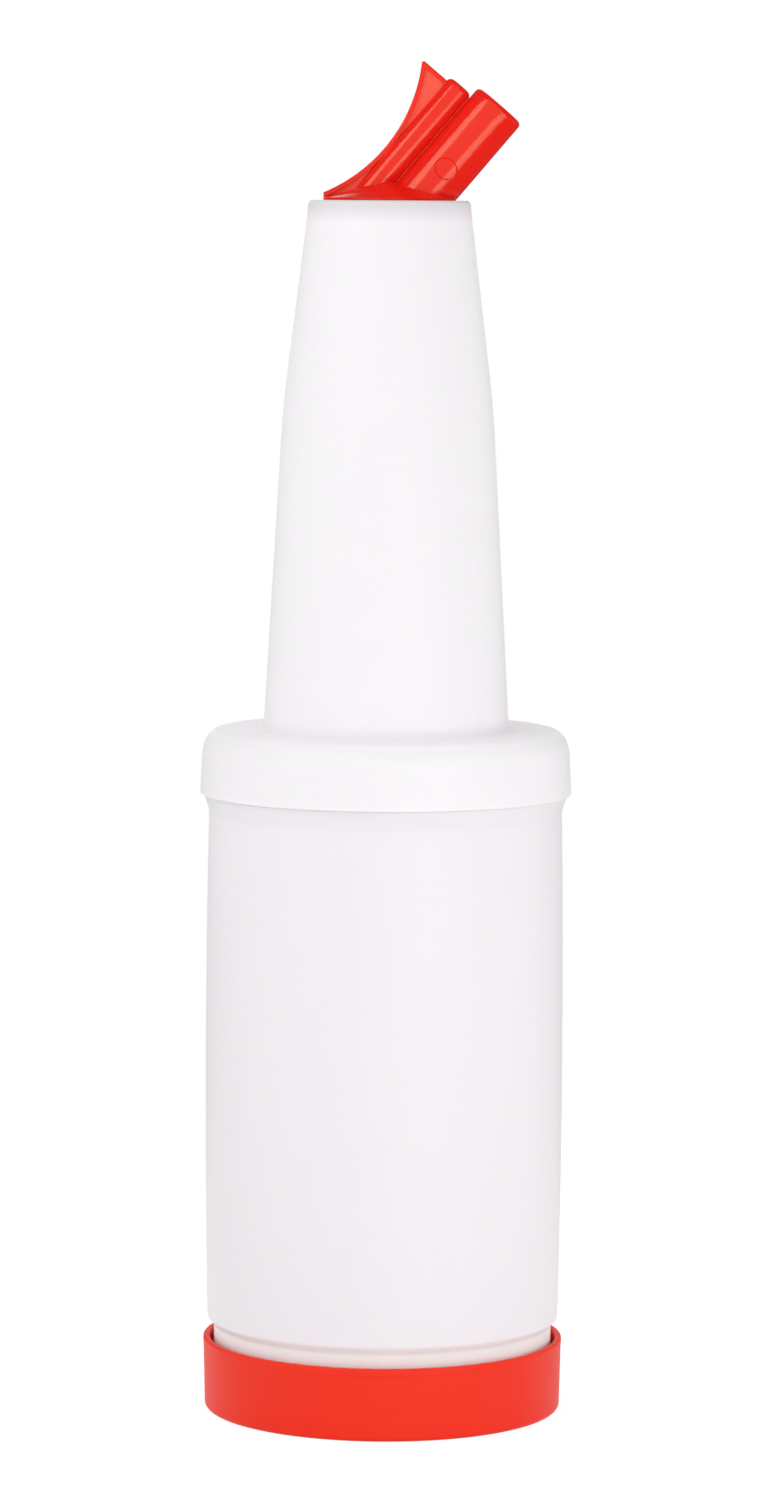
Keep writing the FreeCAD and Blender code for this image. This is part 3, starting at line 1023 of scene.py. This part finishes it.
def white_floor(width):
    """Pale floor that looks white and keeps a soft shadow under the bottle."""
    bpy.ops.object.select_all(action="DESELECT")
    bpy.ops.mesh.primitive_plane_add(size=width, location=(0, 0, LID_LOW.z))
    floor = bpy.context.object
    floor.name = floor.data.name = "floor"
    apply_place()
    material, tree = new_tree("white_paper")
    paper = add_node(tree, "ShaderNodeBsdfDiffuse", {}, {"Color": linear(FLOOR_WHITE)})
    glow = add_node(tree, "ShaderNodeEmission", {}, {"Strength": FLOOR_GLOW})
    lit = add_node(tree, "ShaderNodeMixShader", {}, {
        "Fac": FLOOR_GLOW_SHARE, 1: paper.outputs[0], 2: glow.outputs[0]})
    mix = add_node(tree, "ShaderNodeMixShader", {}, {
        "Fac": seen_directly(tree), 1: paper.outputs[0], 2: lit.outputs[0]})
    add_node(tree, "ShaderNodeOutputMaterial", {}, {"Surface": mix.outputs[0]})
    floor.data.materials.append(material)


def white_room(ambient, dim):
    """World that is white behind the bottle and in front of it, with dim sides.

    Gloss shows the white front between the softboxes and the dim sides past them, and all
    round the same softer light falls on the bottle.
    """
    world = bpy.data.worlds.new("white_room")
    world.use_nodes = True
    tree = world.node_tree
    tree.nodes.clear()
    direction = add_node(tree, "ShaderNodeTexCoord", {}, {}).outputs["Generated"]
    white = add_node(tree, "ShaderNodeLightPath", {}, {}).outputs["Is Camera Ray"]
    for towards, inner, outer in WHITE_PATCHES:
        nearness = add_node(tree, "ShaderNodeVectorMath", {"operation": "DOT_PRODUCT"}, {
            0: direction, 1: towards})
        patch = add_node(tree, "ShaderNodeMapRange", {}, {
            "Value": nearness.outputs["Value"], "From Min": math.cos(math.radians(outer)),
            "From Max": math.cos(math.radians(inner))})
        white = add_node(tree, "ShaderNodeMath", {"operation": "MAXIMUM"}, {
            0: white, 1: patch.outputs["Result"]}).outputs[0]
    seen = add_node(tree, "ShaderNodeMapRange", {}, {"Value": white, "To Min": dim, "To Max": 1.0})
    strength = add_node(tree, "ShaderNodeMix", {}, {
        "Factor": seen_directly(tree), 2: ambient, 3: seen.outputs["Result"]})
    sky = add_node(tree, "ShaderNodeBackground", {}, {
        "Color": (1, 1, 1, 1), "Strength": strength.outputs[0]})
    add_node(tree, "ShaderNodeOutputWorld", {}, {"Surface": sky.outputs[0]})
    bpy.context.scene.world = world


def set_camera(s):
    """Camera level with the neck's top, in front of the bottle and looking slightly down."""
    place = (0, -s.camera_distance, NECK_HIGH.z)
    bpy.ops.object.camera_add(location=place)
    camera = bpy.context.object
    camera.name = camera.data.name = "camera"
    camera.rotation_mode = "ZYX"
    camera.rotation_euler = (math.radians(90) - s.camera_tilt, 0, s.camera_roll)
    camera.data.lens = s.lens
    bpy.context.scene.camera = camera


class BOTTLE_PT_panel(bpy.types.Panel):
    """Lists the bottle's pieces and their sizes"""
    bl_label = "Pouring bottle"
    bl_space_type = "VIEW_3D"
    bl_region_type = "UI"
    bl_category = "Bottle"

    def draw(self, context):
        for operator, group in STEPS:
            box = self.layout.box()
            box.operator(operator.bl_idname)
            settings = getattr(context.scene, group)
            for name in settings.__annotations__:
                box.prop(settings, name)


STEPS = (
    (BOTTLE_OT_stage, "bottle_stage"),
    (BOTTLE_OT_container, "bottle_container"),
    (BOTTLE_OT_lid, "bottle_lid"),
    (BOTTLE_OT_neck, "bottle_neck"),
    (BOTTLE_OT_spout, "bottle_spout"),
)
GROUPS = {
    "bottle_stage": StageSettings,
    "bottle_container": ContainerSettings,
    "bottle_lid": LidSettings,
    "bottle_neck": NeckSettings,
    "bottle_spout": SpoutSettings,
}


def register():
    for name, group in GROUPS.items():
        bpy.utils.register_class(group)
        setattr(bpy.types.Scene, name, bpy.props.PointerProperty(type=group))
    for operator, _ in STEPS:
        bpy.utils.register_class(operator)
    bpy.utils.register_class(BOTTLE_PT_panel)


def unregister():
    bpy.utils.unregister_class(BOTTLE_PT_panel)
    for operator, _ in reversed(STEPS):
        bpy.utils.unregister_class(operator)
    for name, group in GROUPS.items():
        delattr(bpy.types.Scene, name)
        bpy.utils.unregister_class(group)


def main():
    register()
    bpy.ops.bottle.stage()
    bpy.ops.bottle.container()
    bpy.ops.bottle.lid()
    bpy.ops.bottle.neck()
    bpy.ops.bottle.spout()


if __name__ == "__main__":
    main()
